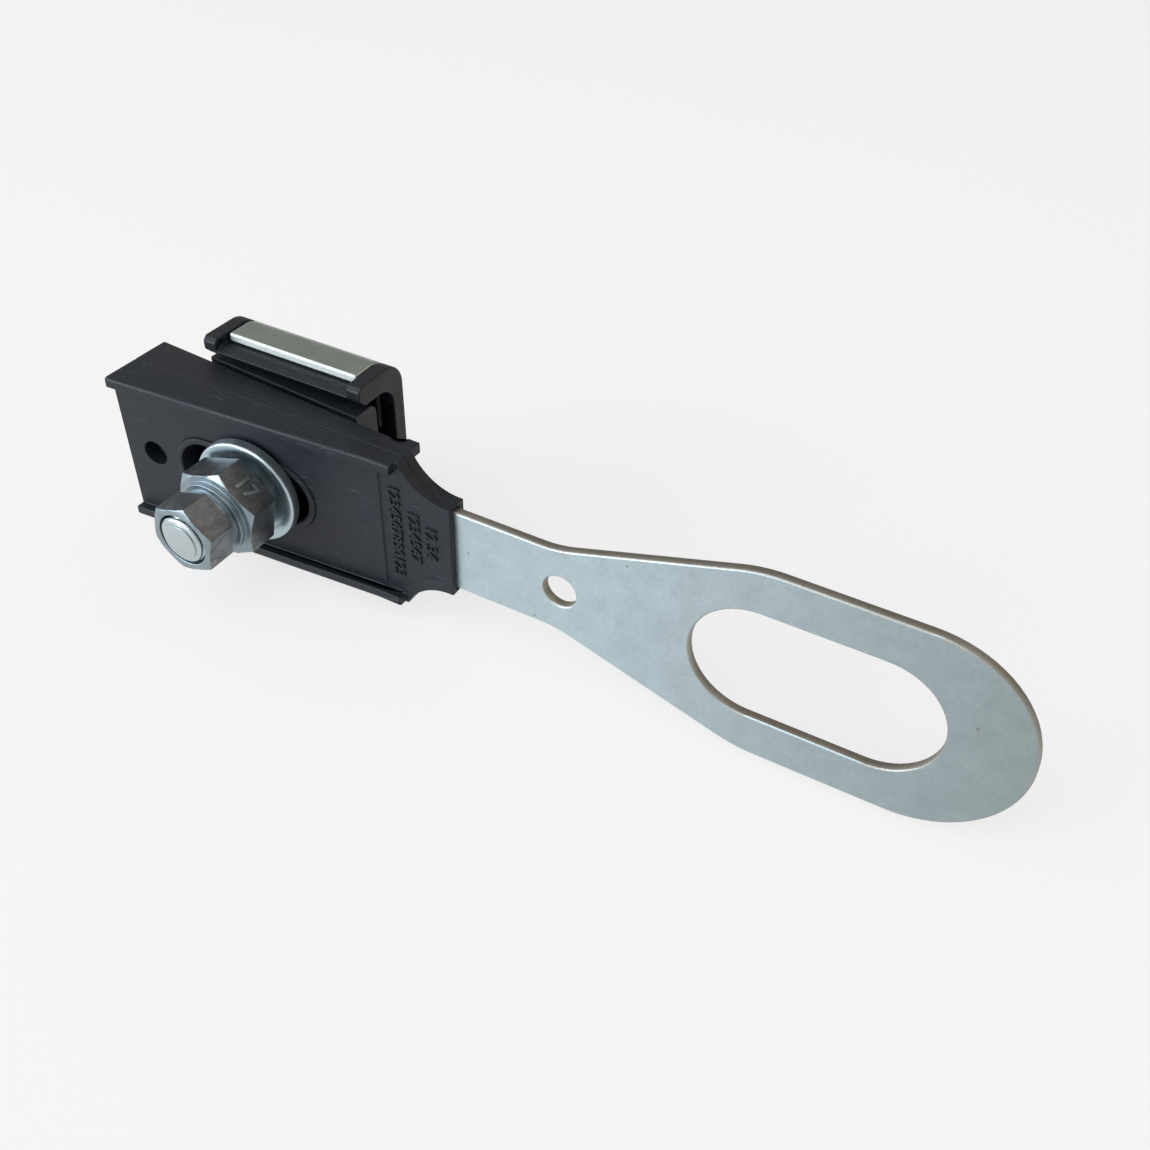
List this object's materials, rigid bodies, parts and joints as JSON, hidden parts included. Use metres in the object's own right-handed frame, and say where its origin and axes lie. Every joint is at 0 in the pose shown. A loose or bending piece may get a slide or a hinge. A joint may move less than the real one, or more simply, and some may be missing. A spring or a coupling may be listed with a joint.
{
  "type": "service drop tension clamp",
  "caption": "Bolted tension clamp for insulated service drop conductors: steel hanger strap with oblong eye, two-shell plastic wedge body, two jaws and shear nut.",
  "frame": {"origin": "centre of the strap's oblong eye, at the strap's mid-thickness", "axes": "+X along the strap, from the clamp body to the eye's round end; +Y from the nut side to the jaw side; +Z across the strap's width"},
  "size_m": [0.1805, 0.0503, 0.0434],
  "materials": {
    "zinc_strap": "zinc-plated sheet steel, slightly dulled",
    "black_polymer": "weather-resistant black moulded polymer, fine moulded texture",
    "pin_polymer": "black moulded polymer",
    "zinc_washer": "bright zinc-plated spring steel",
    "zinc_nut": "zinc-plated turned steel",
    "zinc_bolt": "bright zinc-plated steel",
    "jaw_polymer": "weather-resistant black moulded polymer",
    "zinc_stiffener": "zinc-plated folded sheet steel"
  },
  "bodies": {
    "clamp_body": {"hanger_strap": "zinc_strap", "front_shell": "black_polymer", "rear_shell": "black_polymer", "locating_pin": "pin_polymer"},
    "bolt_carrier": {"spring_washer": "zinc_washer", "inner_jaw": "jaw_polymer"},
    "nut": {"shear_nut": "zinc_nut"},
    "jaw_set": {"outer_jaw": "jaw_polymer", "jaw_stiffener": "zinc_stiffener", "clamp_bolt": "zinc_bolt"}
  },
  "joints": [
    {"name": "wedge_slide", "type": "slide", "parent": "clamp_body", "child": "bolt_carrier", "axis": [0.9974, 0.0715, 0], "range_m": [-0.006, 0.006]},
    {"name": "nut_turn", "type": "hinge", "parent": "bolt_carrier", "child": "nut", "pos_m": [-0.1137, -0.012, 0], "axis": [0, 1, 0], "range_deg": [0, 960]},
    {"name": "jaw_slide", "type": "slide", "parent": "bolt_carrier", "child": "jaw_set", "axis": [0, -1, 0], "range_m": [0, 0.004]}
  ],
  "couplings": [
    {"joint": "nut_turn", "follows": "jaw_slide", "rad_per_m": 4188.8}
  ]
}
